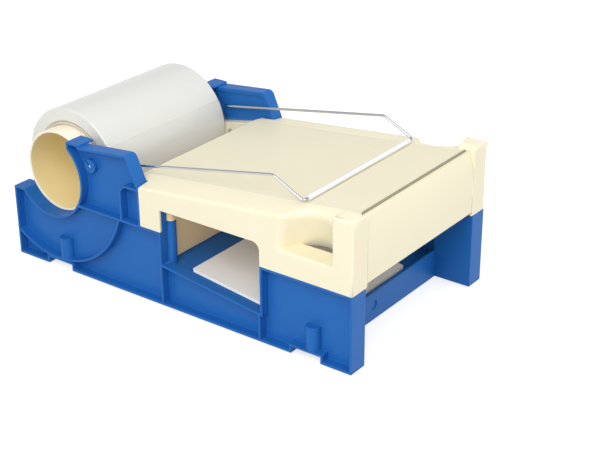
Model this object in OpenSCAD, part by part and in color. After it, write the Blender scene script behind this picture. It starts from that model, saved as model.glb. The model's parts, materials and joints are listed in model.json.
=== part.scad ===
// Label protection tape dispenser: two moulded side frames carry a wedge-shaped top cover with a
// cutter blade, a label tray under it, a wide roll of clear tape on an open cradle behind it, and a
// wire bail whose roller rests on the film that runs from the roll over the deck.
// Millimetres, +Z up. The front (blade) is at -Y, the tape roll at +Y, the roll axis along X.
// The origin is on the ground, under the middle of the object.
// Lengths called _y are measured back from the front face, heights called _z up from the frames'
// bottom edge, and distances called _u inwards from a side frame's outer face.

/* [Overall] */
// Room between the tape's ends and the side frames
side_room = 5.8; // [5:0.1:10]
// Length from the front face to the rear lip
body_l = 371; // [360:1:410]
// How far the rubber feet stand below the frames
foot_proud = 1; // [0.5:0.5:3]

/* [Side frames] */
// Full width of a side frame's flanges
frame_w = 19; // [18:0.5:22]
// Distance from the outer face to the web
web_u = 8.5; // [8:0.5:9.5]
// Thickness of the web
web_t = 2.5; // [2:0.1:3]
// Thickness of the flanges and ribs
rib_t = 2.2; // [1.6:0.1:3]
// Height of the ledge that the cover stands on
ledge_z = 69; // [66:1:74]
// Height of the rear lip of the cradle
lip_z = 67.5; // [62:0.5:72]
// Height of the notches in the frames' bottom edges
notch_z = 6; // [5:0.5:7]
// Width of the notches
notch_l = 29; // [24:1:34]
// Front edge of the front notch
front_notch_y = 30; // [25:1:36]
// Rear edge of the rear notch, in front of the rear face
rear_notch_back = 37.5; // [32:0.5:44]

/* [Side windows] */
// Front edge of the windows
window_front_y = 90; // [86:1:100]
// Rear edge of the windows, in front of the roll axis
window_back = 130; // [120:1:140]
// Height of the window sill at its front end
sill_front_z = 26; // [22:1:30]
// Height of the window sill at its rear end
sill_rear_z = 39; // [34:1:44]
// Height of the top edge of the windows
window_top_z = 89.6; // [84:0.2:92]

/* [Cradle and cheeks] */
// Distance from the rear face to the roll axis
roll_back = 46; // [44:0.5:60]
// Height of the roll axis
roll_z = 88.5; // [84:0.5:100]
// Radial room for the spindle in the cradle
cradle_gap = 1.2; // [1:0.1:2]
// Angle at which the cradle ends under the hook, degrees
cradle_end = 130; // [122:1:132]
// Height of the cheeks above the deck
cheek_rise = 23; // [18:0.5:28]
// Step up from the cheek's top to the hook
hook_step = 2.2; // [1:0.2:4]
// Length of the hook's flat top
hook_l = 15; // [10:1:20]
// How far the cheek's front edge leans back
cheek_lean = 12; // [6:1:18]
// Radius of the cheek's front corner
cheek_r = 6; // [3:0.5:9]

/* [Tape roll] */
// Width of the tape
tape_w = 152.4; // [120:0.2:160]
// Outside diameter of the roll
tape_od = 106; // [90:1:120]
// Inside diameter of the cardboard core
core_id = 76.2; // [74:0.1:78]
// Wall of the cardboard core
core_wall = 2.4; // [2:0.1:4]
// Radial room between core and spindle
core_gap = 0.35; // [0.3:0.05:0.6]
// Wall of the spindle tube
spindle_wall = 2.5; // [2:0.1:4]
// How far the roll lies to the right of the middle of its spindle
tape_shift = 5.2; // [0:0.1:5.2]
// Bearing length of the spindle inside each cradle
spindle_bearing = 6; // [4:0.5:10]
// Thickness of the film that runs over the deck
film_t = 0.2; // [0.1:0.05:0.3]
// Height above the roll axis at which the film leaves the roll
film_rise = 10; // [4:1:20]

/* [Top cover] */
// Height of the deck plane at the front face
deck_z0 = 129.8; // [126:0.2:136]
// Fall of the deck towards the rear, degrees
deck_slope = 5.7; // [4:0.1:7]
// Fall of the shoulders at the outer faces
shoulder_fall = 3.4; // [1:0.2:6]
// Radius of the long outer edges
edge_r = 3; // [1:0.5:4]
// Wall of the cover
cover_t = 2.5; // [2:0.1:3]
// Rear end of the cover, in front of the roll axis
cover_back = 107.5; // [104:0.5:112]
// Rear edge of the deck's tongue, in front of the roll axis
tongue_back = 93; // [88:0.5:98]
// Corner radius of the windows
window_r = 7; // [3:0.5:10]

/* [Front and blade] */
// Width of the front posts
post_w = 21; // [18:0.5:22]
// Length of the front posts
post_l = 18; // [15:0.5:20]
// Height of the posts above the deck's front edge
post_rise = 3; // [2:0.2:5]
// Width of the bevel on the posts' inner side
post_bevel = 5; // [3:0.5:6]
// Set-back of the front panel from the posts
panel_set = 0.8; // [0.4:0.1:1.5]
// Height of the front panel's lower edge above the ledge
panel_lift = 3; // [1:0.5:6]
// Height of the leaning top part of the front panel
panel_lean_h = 17.5; // [12:0.5:22]
// How far the panel's top leans back
panel_lean = 3.8; // [2:0.2:6]
// Thickness of the blade
blade_t = 0.6; // [0.4:0.1:1]
// Height of the blade
blade_h = 14; // [11:0.5:16]
// How far the teeth stand above the panel's top edge
blade_proud = 2.4; // [1.5:0.1:3]
// Pitch of the teeth
tooth_pitch = 2; // [1.6:0.2:4]
// Depth of the teeth
tooth_h = 1.2; // [0.8:0.1:1.4]

/* [Finger scoops] */
// Radius of the scoops
scoop_r = 24.7; // [22:0.1:25]
// Distance from the outer face to the scoop's centre, on its ledge
scoop_u = 1.8; // [1:0.1:3]
// How far the scoop's axis leans outwards at the top, degrees
scoop_lean = 25; // [22:1:28]
// Distance from the front face to the scoop's centre
scoop_y = 43.3; // [43:0.1:46]
// Width of the scoop's ledge
scoop_ledge = 20.1; // [18:0.1:22]

/* [Label tray] */
// Distance from the front face to the tray's front wall
tray_front_y = 35.3; // [30:0.5:42]
// Height of the tray's front wall
tray_wall_z = 26.3; // [22:0.5:32]
// Thickness of the tray's walls
tray_t = 2.5; // [2:0.1:3]
// How much narrower the labels are than the tape
label_margin = 16.4; // [12:0.4:60]
// Length of the labels
label_l = 127; // [90:1:138]
// Height of the stack of labels
label_h = 4.5; // [1:0.5:6]

/* [Bail] */
// Diameter of the bail's wire
wire_d = 2.4; // [2:0.1:3]
// Radial room for the wire in its pivots
pivot_gap = 0.06; // [0.03:0.01:0.1]
// Distance from the pivot to the roll axis, along the length
pivot_front = 48; // [46:0.5:54]
// Height of the pivot above the roll axis
pivot_rise = 19.2; // [17:0.2:22]
// Room between the bail's knees and the cheeks' rims
knee_room = 0.6; // [0.5:0.1:1]
// Room between the bail's front bends and the side frames
arm_room = 1.1; // [0.8:0.1:1.5]
// Distance from the front face to the bail's bend
bend_y = 91.2; // [80:0.5:110]
// Height of the bail's bend above the deck
bend_rise = 20.6; // [12:0.2:28]
// Distance from the front face to the roller
roller_y = 61.6; // [50:0.2:75]
// Outside diameter of the roller
roller_d = 4.4; // [4:0.2:6]
// Room at each end of the roller
roller_room = 3.2; // [1:0.2:8]

/* [Feet and fasteners] */
// Diameter of the rubber feet
foot_d = 13; // [10:0.5:14]
// Diameter of the feet's soles
sole_d = 8; // [6:0.5:10]
// Distance from the front face to the front bosses on the frames' outer sides
front_boss_y = 41; // [38:0.5:48]
// Distance from the rear face to the rear bosses and feet
rear_foot_back = 56; // [52:0.5:60]
// Thread diameter of the small screws
screw_d = 3; // [2.5:0.1:3.5]
// Thread diameter of the cover screws
cover_screw_d = 4; // [3.5:0.1:4.2]

/* [Hidden] */
$fn = 96;

// Overshoot of cutting shapes, a length past every edge, and the rooms between neighbours
eps = 1;
far = 400;
seat_gap = 0.3;
hole_gap = 0.05;
head_gap = 0.2;

// The tape's width sets the width of the object
body_w = tape_w + 2 * (side_room + frame_w);
half_w = body_w / 2;
overall_l = max(body_l, body_l - roll_back + tape_od / 2);

// Places along the length and in height
roll_y = body_l - roll_back;
window_rear_y = roll_y - window_back;
cover_rear_y = roll_y - cover_back;
tongue_rear_y = roll_y - tongue_back;
pivot_y = roll_y - pivot_front;
pivot_z = roll_z + pivot_rise;
front_notch = [front_notch_y, front_notch_y + notch_l];
rear_notch = [body_l - rear_notch_back - notch_l, body_l - rear_notch_back];
rear_foot_y = body_l - rear_foot_back;
function deck_z(y) = deck_z0 - y * tan(deck_slope);
function cheek_z(y) = deck_z(y) + cheek_rise;
sill_rise = (sill_rear_z - sill_front_z) / (window_rear_y - window_front_y);
sill_angle = atan(sill_rise);
function sill_z(y) = sill_front_z + (y - window_front_y) * sill_rise;

// Roll, spindle and cradle
core_od = core_id + 2 * core_wall;
spindle_od = core_id - 2 * core_gap;
spindle_l = body_w - 2 * (frame_w - spindle_bearing);
cradle_r = spindle_od / 2 + cradle_gap;
cradle_z = roll_z + cradle_gap - seat_gap;
hook_rear_y = roll_y + cradle_r * cos(cradle_end);
hook_low_z = cradle_z + cradle_r * sin(cradle_end);
hook_front_y = hook_rear_y - hook_l;
hook_z = cheek_z(hook_front_y) + hook_step;
lip_front_y = roll_y + sqrt(pow(cradle_r, 2) - pow(cradle_z - lip_z, 2));
cheek_front_y = cover_rear_y + cheek_lean;

// Frame details
web_in = web_u + web_t;
arc_rib_r = 80;
arc_rib_shift = [-4, 1];
arc_rib_at = [roll_y, roll_z] + arc_rib_shift;
pocket_l = 23;
pocket_drop = 3.5;
pocket_y = cover_rear_y + pocket_l;
pocket_z = deck_z(pocket_y) - pocket_drop;
pocket_r = 9;
cheek_rim_t = 4;
cheek_rim_h = 2;
cheek_rim_u = web_in + cheek_rim_h;
side_boss_set = 4;
side_boss_u = web_in - side_boss_set;
side_boss_r = 6.7;
side_boss_z = 29;
foot_under = 1;
foot_u = web_in + foot_d / 2 - foot_under;
foot_post_r = 6.7;
foot_post_h = 8.5;
foot_taper_z = 4;
stem_d = 5.8;
stem_l = 7.5;
pivot_boss_r = 6.3;
pivot_boss_u = 4;
pivot_slit = 1.6;
column_r = 4.6;
column_set = 0.5;
column_u = frame_w - column_r - column_set;
column_front_y = 12;
column_rise = 8;
column_rear = [column_u, window_rear_y];
column_front = [column_u, column_front_y];
column_rear_z = ledge_z + column_rise;
head_h = 2.2;
head_ratio = 1.75;
recess_ratio = 0.6;
column_bore_r = cover_screw_d * head_ratio / 2 + head_gap;
column_cap = 10;
cover_screw_l = 19;
boss_r = 4;
boss_l = 5;

// Cover details
deck_w = tape_w;
shoulder_w = (body_w - deck_w) / 2;
least_r = 0.5;
shoulder_angle = atan(shoulder_fall / shoulder_w);
panel_low_z = ledge_z + panel_lift;
panel_angle = atan(panel_lean / panel_lean_h);
panel_top_y = panel_set + panel_lean;
panel_drop = 0.8;
panel_top_z = deck_z(panel_top_y) - panel_drop;
panel_bend_z = panel_top_z - panel_lean_h;
panel_back = cover_t / cos(panel_angle);
panel_x = half_w - post_w;
blade_room = 0.05;
blade_slot = blade_t + 2 * blade_room;
blade_l = 2 * panel_x - post_bevel;
blade_y = panel_top_y + panel_back;
post_z = deck_z(panel_top_y) + post_rise;
post_solid_h = 30;
scoop_ledge_z = window_top_z;
partition_set = 2;
partition_y = window_rear_y + partition_set;
tongue_lip = 4.8;
tongue_room = 1;
tongue_x = half_w - cheek_rim_u - tongue_room;
partition_x = half_w - frame_w - seat_gap;
tab_t = partition_set - seat_gap;
tab_u = column_u - column_r - seat_gap;
tab_drop = 2;
blade_rib_t = 2.2;
blade_screw_inset = 22.5;
blade_screw_x = [for (side = [-1 : 1]) side * (blade_l / 2 - blade_screw_inset)];
blade_screw_drop = 7.5;
blade_reach = blade_slot + blade_rib_t;
blade_grip = 1.5;
blade_hole = blade_grip + head_gap;

// Tray details
floor_drop = 2;
function floor_z(y) = sill_z(y) - floor_drop;
function floor_at(y) = [y, floor_z(y)];
floor_front_y = tray_front_y + tray_t;
foot_room = 0.7;
front_foot_y = floor_front_y + foot_d / 2 + foot_room;
floor_past = 6;
tray_rear_y = partition_y + floor_past;
skirt_u = web_in + boss_l;
skirt_h = 14;
skirt_end_y = column_rear.y - column_r - seat_gap;
tray_screw_inset = 14;
tray_screw_y = [window_front_y + tray_screw_inset, skirt_end_y - tray_screw_inset];
tray_screw_drop = 8;
tray_screw_at = [for (y = tray_screw_y) floor_at(y) - [0, tray_screw_drop]];
dimple_r = 4.5;
dimple_depth = 1;
dimple_at = [-16, 14];
label_w = tape_w - label_margin;
label_front_room = 7.7;
label_front_y = floor_front_y + label_front_room;
label_side_room = 0.3;
label_near_u = web_in + label_side_room;

// Shelf details
shelf_front_room = 6;
shelf_front_y = cover_rear_y + shelf_front_room;
shelf_rear_room = 2;
shelf_rear_y = roll_y - cradle_r - rib_t - shelf_rear_room;
trough_room = 5;
trough_rear_y = roll_y - tape_od / 2 - trough_room;
trough_depth = 25;
shelf_drop = 5.6;
shelf_fall = 0.195;
shelf_t = 2.5;
function shelf_z(y) = deck_z(tongue_rear_y) - shelf_drop - (y - tongue_rear_y) * shelf_fall;
function shelf_at(y) = [y, shelf_z(y)];
shelf_screw_inset = [9, 16];
shelf_screw_y = [shelf_front_y + shelf_screw_inset[0], shelf_rear_y - shelf_screw_inset[1]];
shelf_screw_drop = 9;
shelf_screw_at = [for (y = shelf_screw_y) shelf_at(y) - [0, shelf_screw_drop]];

// The film's way: from behind the blade along the deck, then free from the tongue to the roll
film_gap_r = tape_od / 2 + seat_gap;
film_front_y = blade_y + blade_slot / cos(panel_angle) + panel_drop * tan(panel_angle) + seat_gap;
function film_at(y) = [y, deck_z(y) + hole_gap];
film_way = [
    film_at(film_front_y), film_at(tongue_rear_y),
    [roll_y - sqrt(pow(film_gap_r, 2) - pow(film_rise, 2)), roll_z + film_rise]
];

// Bail details
roller_gap = 0.08;
roller_z = film_at(roller_y).y + film_t + (roller_d / 2 + seat_gap) / cos(deck_slope);
bend_z = deck_z(bend_y) + bend_rise;
knee_x = half_w - cheek_rim_u - knee_room - wire_d / 2;
arm_x = half_w - frame_w - arm_room - wire_d / 2;
knee_r = 4;
bend_r = 7;
toe_r = 3;
roller_l = 2 * (arm_x - toe_r - roller_room);
tip_x = half_w - pivot_boss_u - seat_gap;
weld = 0.3;
elbow_swell = 0.04;

blue = [0.16, 0.38, 0.70];
cream = [0.97, 0.94, 0.83];
steel = [0.72, 0.73, 0.75];
rubber = [0.12, 0.12, 0.13];

// Shared shapes

// Puts a piece that is drawn from the front face and the frames' bottom edge into the part's frame
module place() {
    translate([0, -overall_l / 2, foot_proud]) children();
}

// Extrudes a side view, drawn as (y, z), across the width from x0 to x1
module across(x0, x1) {
    translate([x0, 0, 0]) rotate([90, 0, 90]) linear_extrude(x1 - x0) children();
}

// Extrudes a side view inwards from the left frame's outer face, from u0 to u1
module inwards(u0, u1) {
    across(-half_w + u0, -half_w + u1) children();
}

// A straight flange in the side view, on the left of the way from p to q
module strip(p, q, t = rib_t) {
    run = q - p;
    translate(p) rotate(atan2(run.y, run.x)) square([norm(run), t]);
}

// Points along an arc, for the rounded corners of an outline
function arc_points(centre, r, from, to, steps = 6) =
    [for (i = [0 : steps]) let (a = from + (to - from) * i / steps) centre + r * [cos(a), sin(a)]];

// The arc that rounds a convex corner of an outline
function round_corner(before, at, after, r, steps) =
    let (
        one = unit(before - at),
        other = unit(after - at),
        half = acos(one * other) / 2,
        inside = unit(one + other),
        middle = atan2(-inside.y, -inside.x)
    )
    arc_points(at + inside * r / sin(half), r, middle - 90 + half, middle + 90 - half, steps);

// A round bar between two points
module rod(p, q, d) {
    run = q - p;
    translate(p) rotate([0, acos(run.z / norm(run)), atan2(run.y, run.x)])
        cylinder(d = d, h = norm(run), $fn = 32);
}

// A bent bar through a list of points, with one bend radius for each inner point. The straight
// lengths reach a little into the bends, which are thicker by a hair.
function unit(v) = v / norm(v);
function bend_angle(p, i) = acos(unit(p[i] - p[i - 1]) * unit(p[i + 1] - p[i]));
function bend_reach(p, radii, i) = radii[i - 1] * tan(bend_angle(p, i) / 2);
function trim(p, radii, i) = i == 0 || i == len(p) - 1 ? 0 : bend_reach(p, radii, i) - weld;

module bent_bar(p, radii, d) {
    for (i = [0 : len(p) - 2]) {
        way = unit(p[i + 1] - p[i]);
        rod(p[i] + way * trim(p, radii, i), p[i + 1] - way * trim(p, radii, i + 1), d);
    }
    for (i = [1 : len(p) - 2]) {
        way = unit(p[i] - p[i - 1]);
        next = unit(p[i + 1] - p[i]);
        inside = unit(next - way * (way * next));
        axis = cross(-inside, way);
        hub = p[i] - way * bend_reach(p, radii, i) + inside * radii[i - 1];
        multmatrix([
            [-inside.x, way.x, axis.x, hub.x],
            [-inside.y, way.y, axis.y, hub.y],
            [-inside.z, way.z, axis.z, hub.z]
        ])
            rotate_extrude(angle = bend_angle(p, i))
                translate([radii[i - 1], 0]) circle(d = d + elbow_swell, $fn = 32);
    }
}

// A pan-head screw along +Z, with the head below z = 0
module screw(d, l) {
    cylinder(d = d, h = l, $fn = 32);
    translate([0, 0, -head_h]) difference() {
        cylinder(d = d * head_ratio, h = head_h, $fn = 48);
        translate([0, 0, -eps]) cylinder(d = d * recess_ratio, h = head_h / 2 + eps, $fn = 6);
    }
}

// A left-hand piece mirrored to the right, and the pair of both
module right_hand() {
    mirror([1, 0, 0]) children();
}

module both_sides() {
    children();
    right_hand() children();
}

// The side view of a sloping wall whose top runs from p to q, with its depth measured downwards
module sloping(p, q, depth) {
    polygon([p, p - [0, depth], q - [0, depth], q]);
}

// The clear holes of the screws that hold a skirt, at a list of (y, z) places
module skirt_holes(places) {
    for (at = places) translate([-half_w + skirt_u - eps, at.x, at.y]) rotate([0, 90, 0])
        cylinder(d = screw_d + 2 * hole_gap, h = tray_t + 2 * eps);
}

// The screws that hold the left skirt of the tray or the shelf, at the same places
module skirt_screws(places) {
    for (at = places) translate([-half_w + skirt_u + tray_t, at.x, at.y]) rotate([0, -90, 0])
        screw(screw_d, tray_t + boss_l);
}

// Side frames

cheek_rear = [hook_front_y, cheek_z(hook_front_y)];
cheek_corner = [cheek_front_y, cheek_z(cheek_front_y)];
cheek_foot = [cover_rear_y, deck_z(cover_rear_y) - shoulder_fall - cover_t];
cheek_steps = 6;
outline = concat(
    [
        [0, 0],
        [front_notch[0], 0], [front_notch[0], notch_z], [front_notch[1], notch_z], [front_notch[1], 0],
        [rear_notch[0], 0], [rear_notch[0], notch_z], [rear_notch[1], notch_z], [rear_notch[1], 0],
        [body_l, 0], [body_l, lip_z], [lip_front_y, lip_z],
        [roll_y, cradle_z],
        [hook_rear_y, hook_low_z], [hook_rear_y, hook_z], [hook_front_y, hook_z],
        cheek_rear
    ],
    round_corner(cheek_rear, cheek_corner, cheek_foot, cheek_r, cheek_steps),
    [
        cheek_foot, [cover_rear_y, ledge_z], [window_rear_y, ledge_z],
        [window_rear_y, sill_rear_z], [window_front_y, sill_front_z],
        [window_front_y, ledge_z], [0, ledge_z]
    ]
);
cradle_edges = [11, 12];
full_edges = [9, 10, 13, 14, len(outline) - 1];
cheek_edges = [for (i = [15 : 17 + cheek_steps]) i];

module frame_area() {
    difference() {
        polygon(outline);
        translate([roll_y, cradle_z]) circle(cradle_r);
    }
}

// Corners of the outline by number, and whether the outline turns outwards there
function corner(i) = outline[(i + len(outline)) % len(outline)];
function inner_corner(i) = cross(corner(i) - corner(i - 1), corner(i + 1) - corner(i)) < 0;

// The flanges along some edges of the outline, lengthened so that they also meet at inner corners
module edge_flanges(edges, t = rib_t) {
    for (i = edges) {
        way = unit(corner(i + 1) - corner(i)) * t;
        before = inner_corner(i) ? way : [0, 0];
        after = inner_corner(i + 1) ? way : [0, 0];
        strip(corner(i) - before, corner(i + 1) + after, t);
    }
}

module cradle_ring() {
    translate([roll_y, cradle_z]) difference() {
        circle(cradle_r + rib_t);
        circle(cradle_r);
    }
}

module outer_ribs() {
    strip([window_rear_y, sill_rear_z], [window_rear_y, 0]);
    strip([window_front_y + rib_t, 0], [window_front_y + rib_t, sill_front_z]);
    strip([roll_y, ledge_z], [cover_rear_y, ledge_z]);
    intersection() {
        translate(arc_rib_at) difference() {
            circle(arc_rib_r + rib_t);
            circle(arc_rib_r);
        }
        square([body_l, ledge_z]);
    }
    strip([pocket_y, ledge_z], [pocket_y, pocket_z - pocket_r]);
    strip([cover_rear_y, pocket_z - rib_t], [pocket_y - pocket_r, pocket_z - rib_t]);
    translate([pocket_y - pocket_r, pocket_z - pocket_r]) intersection() {
        difference() {
            circle(pocket_r);
            circle(pocket_r - rib_t);
        }
        square(pocket_r);
    }
}

// A vertical boss, at a distance from the outer face and from the front
module frame_post(u, y, r, z0, z1) {
    translate([-half_w + u, y, z0]) cylinder(r = r, h = z1 - z0, $fn = 64);
}

// A boss on the outer face of the web, over a notch
module side_boss(y) {
    intersection() {
        frame_post(side_boss_u, y, side_boss_r, notch_z, side_boss_z);
        inwards(0, web_in) square([body_l, side_boss_z]);
    }
}

// A short post on the inner face of the web that takes the stem of a foot
module foot_post(y) {
    intersection() {
        frame_post(foot_u, y, foot_post_r, notch_z, notch_z + foot_post_h);
        inwards(web_u, far) square(body_l);
    }
}

module foot_post_hole(y) {
    translate([-half_w + foot_u, y, notch_z - eps]) cylinder(d = stem_d + 2 * hole_gap, h = stem_l + eps);
}

// A boss on the inner face of the web that takes a small screw
module inner_boss(at) {
    translate([-half_w + web_in - web_t / 2, at.x, at.y]) rotate([0, 90, 0])
        cylinder(r = boss_r, h = boss_l + web_t / 2);
}

module inner_boss_hole(at) {
    translate([-half_w + web_in, at.x, at.y]) rotate([0, 90, 0])
        cylinder(d = screw_d + 2 * hole_gap, h = boss_l + eps);
}

// A rib that ties a screw column to the web, at a distance from the outer face and from the front
module column_rib(at) {
    translate([-half_w + web_u + seat_gap, at.y + seat_gap, rib_t])
        cube([at.x - web_u - seat_gap, rib_t, ledge_z - 2 * rib_t]);
}

// A tab that stands up from the ledge, behind the window's rear edge in the cover
module window_tab() {
    inwards(cover_t + seat_gap, tab_u) translate([window_rear_y, ledge_z - rib_t])
        square([tab_t, window_top_z - tab_drop - ledge_z + rib_t]);
}

// The stepped hole of a screw column: a wide bore from below and a clear hole through its cap
module column_hole(at, z1) {
    translate([-half_w + at.x, at.y, -eps]) cylinder(r = column_bore_r, h = z1 - column_cap + eps);
    translate([-half_w + at.x, at.y, 0]) cylinder(d = cover_screw_d + 2 * hole_gap, h = z1 + eps);
}

module side_frame() {
    all_edges = [for (i = [0 : len(outline) - 1]) if (len(search(i, cradle_edges)) == 0) i];
    pivot_at = [-half_w + pivot_boss_u, pivot_y, pivot_z];
    difference() {
        union() {
            inwards(web_u, web_in) frame_area();
            inwards(0, web_in) intersection() {
                frame_area();
                union() {
                    edge_flanges(all_edges);
                    outer_ribs();
                    cradle_ring();
                }
            }
            inwards(web_u, frame_w) intersection() {
                frame_area();
                union() {
                    edge_flanges(full_edges);
                    cradle_ring();
                }
            }
            inwards(web_u, cheek_rim_u) intersection() {
                frame_area();
                edge_flanges(cheek_edges, cheek_rim_t);
            }
            inwards(frame_w - rib_t, frame_w) square([floor_front_y, ledge_z]);
            side_boss(front_boss_y);
            side_boss(rear_foot_y);
            foot_post(front_foot_y);
            foot_post(rear_foot_y);
            window_tab();
            frame_post(column_u, column_rear.y, column_r, 0, column_rear_z);
            frame_post(column_u, column_front.y, column_r, 0, ledge_z);
            column_rib(column_rear);
            column_rib(column_front);
            for (at = concat(tray_screw_at, shelf_screw_at)) inner_boss(at);
            translate(pivot_at) rotate([0, 90, 0]) cylinder(r = pivot_boss_r, h = web_in - pivot_boss_u);
        }
        foot_post_hole(front_foot_y);
        foot_post_hole(rear_foot_y);
        column_hole(column_rear, column_rear_z);
        column_hole(column_front, ledge_z);
        for (at = concat(tray_screw_at, shelf_screw_at)) inner_boss_hole(at);
        translate(pivot_at - [eps, 0, 0]) rotate([0, 90, 0])
            cylinder(d = wire_d + 2 * pivot_gap, h = frame_w);
        translate(pivot_at - [eps, 0, 0]) rotate([45, 0, 0]) translate([0, 0, -pivot_slit / 2])
            cube([web_u - pivot_boss_u - seat_gap + eps, 2 * pivot_boss_r, pivot_slit]);
    }
}

module left_side_frame() {
    color(blue) place() side_frame();
}

module right_side_frame() {
    color(blue) place() right_hand() side_frame();
}

// Label tray: the sloping floor, cut out for the screw columns, the front wall and the screwed skirts

module label_tray() {
    floor_x = half_w - web_in;
    wall_x = half_w - frame_w;
    skirt_top = [0, tray_t / 2];
    color(blue) place() difference() {
        union() {
            across(-floor_x, floor_x) sloping(floor_at(floor_front_y), floor_at(tray_rear_y), tray_t);
            across(-wall_x, wall_x) translate([tray_front_y, 0]) square([tray_t, tray_wall_z]);
            both_sides() inwards(skirt_u, skirt_u + tray_t) sloping(
                floor_at(window_front_y) - skirt_top, floor_at(skirt_end_y) - skirt_top, skirt_h
            );
        }
        translate([dimple_at.x, tray_front_y - eps, dimple_at.y]) rotate([-90, 0, 0])
            cylinder(r = dimple_r, h = dimple_depth + eps);
        both_sides() {
            skirt_holes(tray_screw_at);
            inwards(0, column_u) translate([skirt_end_y, 0]) square([2 * (column_r + seat_gap), far]);
            frame_post(column_u, column_rear.y, column_r + seat_gap, 0, far);
        }
    }
}

// Roll shelf: a ledge along each cheek, and between them a trough that ties the frames together

module roll_shelf() {
    wall_u = skirt_u + tray_t;
    wall_top = [0, shelf_t / 2];
    floor_x = half_w - skirt_u - tray_t / 2;
    floor_top = [0, trough_depth - shelf_t];
    color(cream) place() difference() {
        union() {
            both_sides() {
                inwards(web_in, wall_u) sloping(shelf_at(shelf_front_y), shelf_at(shelf_rear_y), shelf_t);
                inwards(skirt_u, wall_u) sloping(
                    shelf_at(shelf_front_y) - wall_top, shelf_at(shelf_rear_y) - wall_top,
                    trough_depth - shelf_t / 2
                );
            }
            across(-floor_x, floor_x)
                sloping(shelf_at(shelf_front_y) - floor_top, shelf_at(trough_rear_y) - floor_top, shelf_t);
        }
        both_sides() skirt_holes(shelf_screw_at);
    }
}

// Top cover

// Cross-section of the cover below the deck plane: flat deck, falling shoulders, rounded edges
module roof_section(inset) {
    x = half_w - inset;
    r = max(edge_r - inset, least_r);
    fall = shoulder_fall + inset;
    centre = [x - r, -fall + r * tan(shoulder_angle) - r / cos(shoulder_angle)];
    round_edge = arc_points(centre, r, 0, 90 - shoulder_angle);
    right = concat([[x, -deck_z0]], round_edge, [[deck_w / 2, -inset]]);
    left = [for (i = [len(right) - 1 : -1 : 0]) [-right[i].x, right[i].y]];
    polygon(concat(right, left));
}

// The space under the deck plane, from y0 to y1 and above z0
module roof(inset, y0, y1, z0) {
    intersection() {
        translate([0, 0, deck_z0]) rotate([-deck_slope, 0, 0]) translate([0, far, 0])
            rotate([90, 0, 0]) linear_extrude(2 * far) roof_section(inset);
        translate([-body_w, y0, z0]) cube([2 * body_w, y1 - y0, far]);
    }
}

// Places children in the leaning frame of the blade: +Z along the blade, +Y to its back
module blade_frame() {
    translate([0, blade_y, panel_top_z]) rotate([-panel_angle, 0, 0]) children();
}

module front_panel() {
    across(-panel_x - cover_t, panel_x + cover_t) polygon([
        [panel_set, panel_low_z], [panel_set, panel_bend_z], [panel_top_y, panel_top_z],
        [blade_y, panel_top_z], [panel_set + panel_back, panel_bend_z], [panel_set + panel_back, panel_low_z]
    ]);
}

// The rib behind the blade, which the blade is clamped against, up to the deck
module blade_rib() {
    intersection() {
        blade_frame() translate([-panel_x - cover_t, blade_slot, blade_proud - blade_h])
            cube([2 * (panel_x + cover_t), blade_rib_t, far]);
        roof(0, 0, body_l, 0);
    }
}

// The gap between the posts in front of the rib: the whole front wall, and the deck up to the blade
module front_gap() {
    translate([-panel_x, -eps, 0]) cube([2 * panel_x, cover_t + 2 * eps, far]);
    blade_frame() translate([-panel_x, blade_slot - far, -blade_h]) cube([2 * panel_x, far, far]);
}

// The left post: solid at the top, with a bevel on its inner side that runs down to the deck
module front_post() {
    translate([-half_w, post_l, 0]) rotate([90, 0, 0]) linear_extrude(post_l) polygon(concat(
        arc_points([edge_r, post_z - edge_r], edge_r, 180, 90),
        [
            [post_w - post_bevel, post_z], [post_w, post_z - post_rise - cover_t],
            [post_w, post_z - post_solid_h], [0, post_z - post_solid_h]
        ]
    ));
}

// A leaning round column about the left scoop's axis, above z0 and from u0 inwards
module scoop_column(r, z0, u0) {
    intersection() {
        translate([-half_w + scoop_u, scoop_y, scoop_ledge_z]) rotate([0, -scoop_lean, 0])
            cylinder(r = r, h = far, center = true);
        translate([-half_w + u0, 0, z0]) cube(far);
    }
}

// The left scoop's pocket and the space it leaves: open above its ledge, with a slot behind it
module scoop_pocket() {
    scoop_column(scoop_r + cover_t, scoop_ledge_z - cover_t, 0);
}

module scoop_space() {
    scoop_column(scoop_r, scoop_ledge_z, -far / 2);
    scoop_column(scoop_r, scoop_ledge_z - cover_t - eps, scoop_ledge);
}

// The left window's cut in the cover's wall, with one rounded corner
module window_cut() {
    low = ledge_z - eps;
    inwards(-eps, cover_t + eps) polygon(concat(
        [[window_front_y, low], [window_rear_y, low], [window_rear_y, window_top_z]],
        arc_points([window_front_y + window_r, window_top_z - window_r], window_r, 90, 180)
    ));
}

// The wall that closes the label bay at the rear, down to the tray's floor and, over the frames,
// down to the screw columns
module partition() {
    intersection() {
        roof(0, partition_y, partition_y + cover_t, 0);
        union() {
            across(-partition_x, partition_x)
                translate([0, floor_z(partition_y + cover_t) + seat_gap]) square(far);
            across(-half_w, half_w) translate([0, column_rear_z + seat_gap]) square(far);
        }
    }
}

// The deck's rear tongue, with a lip that hangs from its edge
module tongue() {
    intersection() {
        difference() {
            roof(0, cover_rear_y - cover_t, tongue_rear_y, deck_z(tongue_rear_y) - tongue_lip);
            roof(cover_t, 0, tongue_rear_y - cover_t, 0);
        }
        across(-tongue_x, tongue_x) square(far);
    }
}

// The cover's screw bosses stand on the frames' screw columns
module cover_boss(at, z0) {
    intersection() {
        translate([-half_w + at.x, at.y, z0]) cylinder(r = column_r, h = far);
        roof(0, -eps, body_l, 0);
    }
}

module cover_boss_hole(at, z0) {
    translate([-half_w + at.x, at.y, z0 - eps])
        cylinder(d = cover_screw_d + 2 * hole_gap, h = cover_screw_l - column_cap + 2 * eps);
}

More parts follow.
